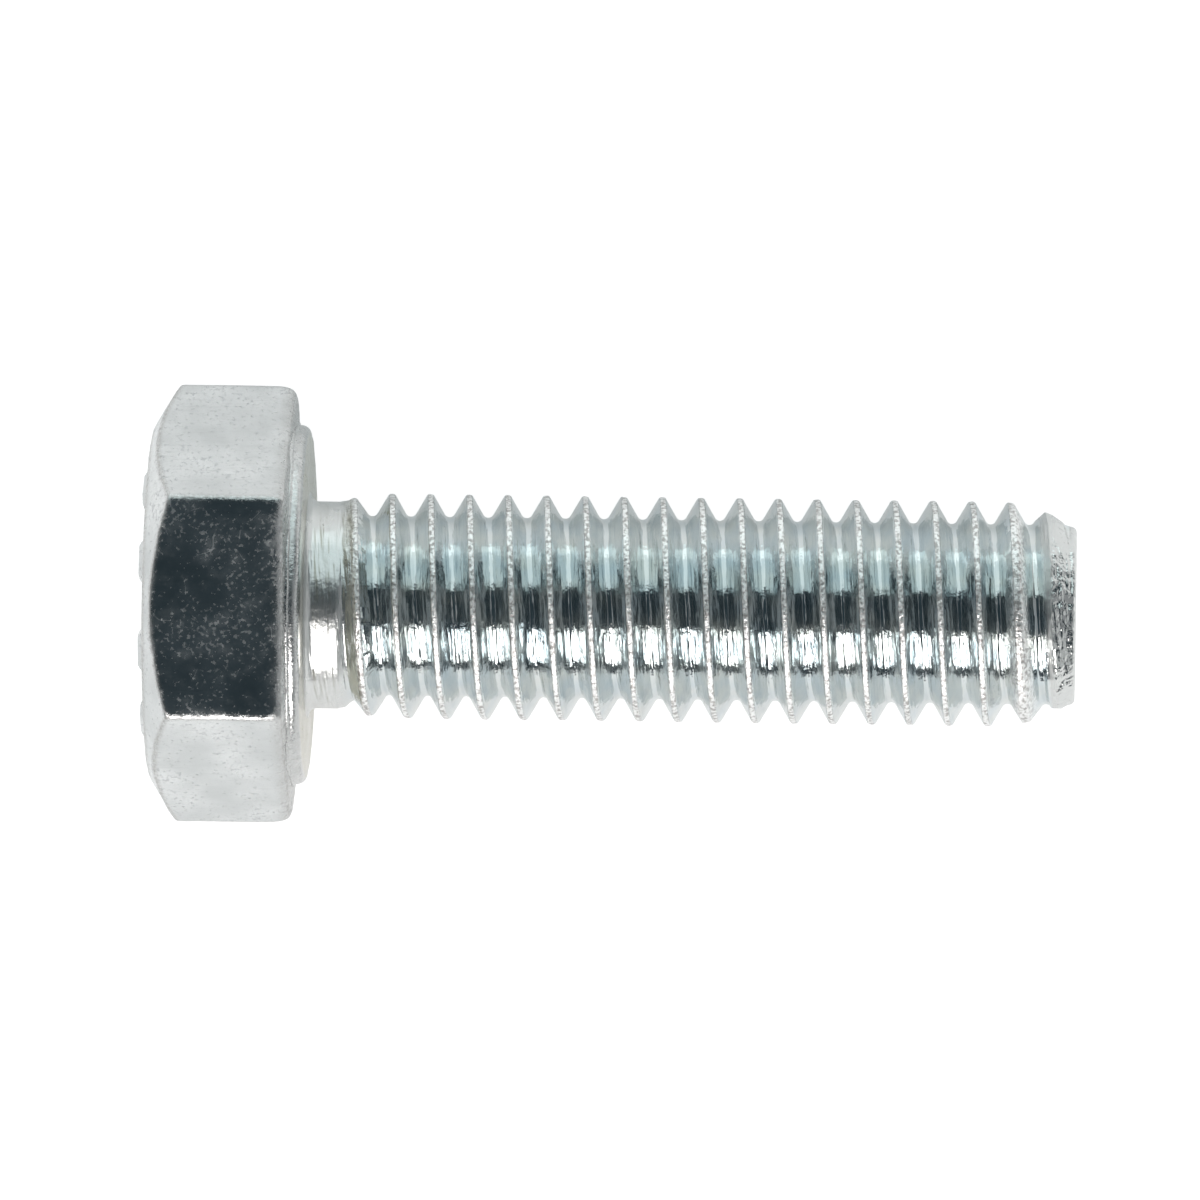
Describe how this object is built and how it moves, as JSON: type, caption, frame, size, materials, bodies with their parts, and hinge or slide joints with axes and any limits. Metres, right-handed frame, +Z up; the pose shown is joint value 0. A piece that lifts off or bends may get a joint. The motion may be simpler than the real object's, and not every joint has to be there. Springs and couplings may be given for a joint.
{
  "type": "hex bolt",
  "caption": "Hex head screw threaded up to its head, with a raised washer face under the hexagon, a chamfered head and a tapered point, in bright zinc plated steel.",
  "frame": {"origin": "on the bolt's axis in the plane of the bearing face, where the length of a bolt is measured from", "axes": "+X along the shank from the head to the tip; +Z up, square to one of the head's flats, with the opposite flat facing down; +Y through an edge of the hexagon"},
  "size_m": [0.0241, 0.0114, 0.0098],
  "materials": {
    "zinc_plated_head": "bright zinc plate over forged steel, lightly scuffed and pitted",
    "zinc_plated_thread": "bright zinc plate over rolled steel, with fine rolling lines and worn crests"
  },
  "bodies": {
    "root": {"hex_head": "zinc_plated_head", "washer_face": "zinc_plated_head", "plain_neck": "zinc_plated_thread", "threaded_shank": "zinc_plated_thread", "tapered_point": "zinc_plated_thread"}
  },
  "joints": []
}
